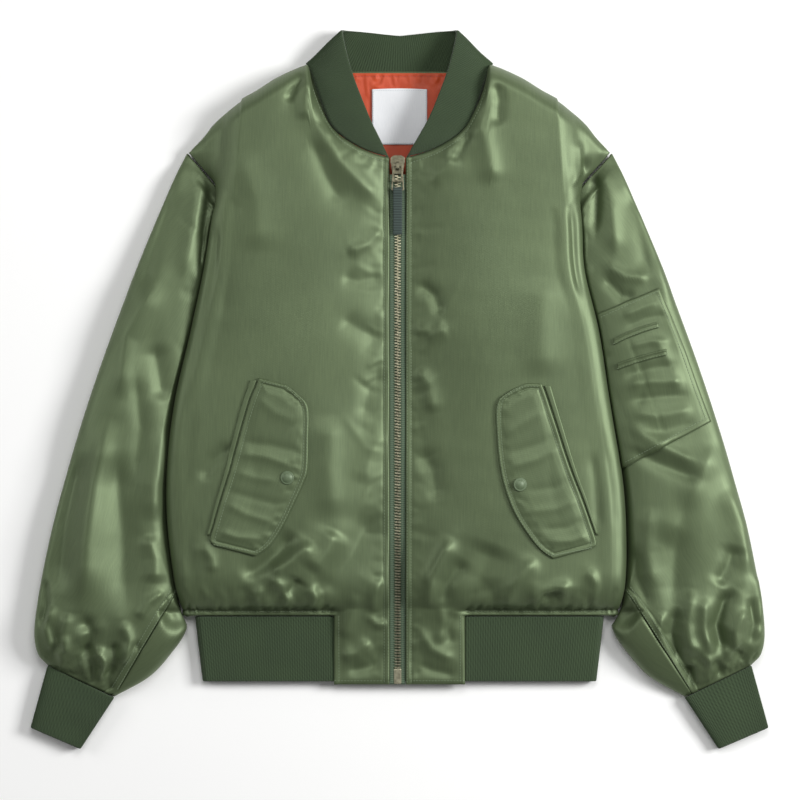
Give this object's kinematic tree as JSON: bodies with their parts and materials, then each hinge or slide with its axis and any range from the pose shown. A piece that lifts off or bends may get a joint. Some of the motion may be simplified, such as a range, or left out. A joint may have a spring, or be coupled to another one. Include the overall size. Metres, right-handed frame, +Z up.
{
  "type": "bomber jacket",
  "caption": "Padded bomber jacket laid flat, zipped up, with rib-knit collar, cuffs and waistband, flap pockets, a sleeve pocket and a zip pull that lifts.",
  "frame": {"origin": "on the surface under the middle of the laid-out jacket", "axes": "+X to the wearer's left, +Y towards the collar, +Z up from the surface, out of the jacket's front"},
  "size_m": [0.774, 0.754, 0.051],
  "materials": {
    "shell": "satin nylon twill over light padding, soft sheen",
    "rib_knit": "matt fine rib knit",
    "lining": "slightly shiny plain-woven lining",
    "label": "pale satin, bare",
    "zip_tape": "matt woven tape",
    "ribbon": "dark grosgrain ribbon",
    "zip_metal": "pale polished brass",
    "snap_metal": "semi-gloss green enamel"
  },
  "bodies": {
    "jacket": {"front_right": "shell", "front_left": "shell", "back": "shell", "sleeve_top_right": "shell", "sleeve_under_right": "shell", "sleeve_top_left": "shell", "sleeve_under_left": "shell", "cuff_right": "rib_knit", "cuff_left": "rib_knit", "collar": "rib_knit", "hem_rib": "rib_knit", "tab_right": "shell", "tab_left": "shell", "zip_tape_right": "zip_tape", "zip_tape_left": "zip_tape", "zip_teeth": "zip_metal", "zip_box": "zip_metal", "flap_right": "shell", "welt_right": "shell", "flap_left": "shell", "welt_left": "shell", "snap_right": "snap_metal", "snap_left": "snap_metal", "sleeve_pocket": "shell", "pen_slot_upper": "shell", "pen_slot_lower": "shell", "lining_back": "lining", "label": "label", "slider": "zip_metal"},
    "pull_tab": {"pull": "zip_metal", "pull_ribbon": "ribbon"}
  },
  "joints": [
    {"name": "pull_hinge", "type": "hinge", "parent": "jacket", "child": "pull_tab", "pos_m": [-0.002, 0.2336, 0.035], "axis": [-1, 0, 0], "range_deg": [0, 165]}
  ]
}
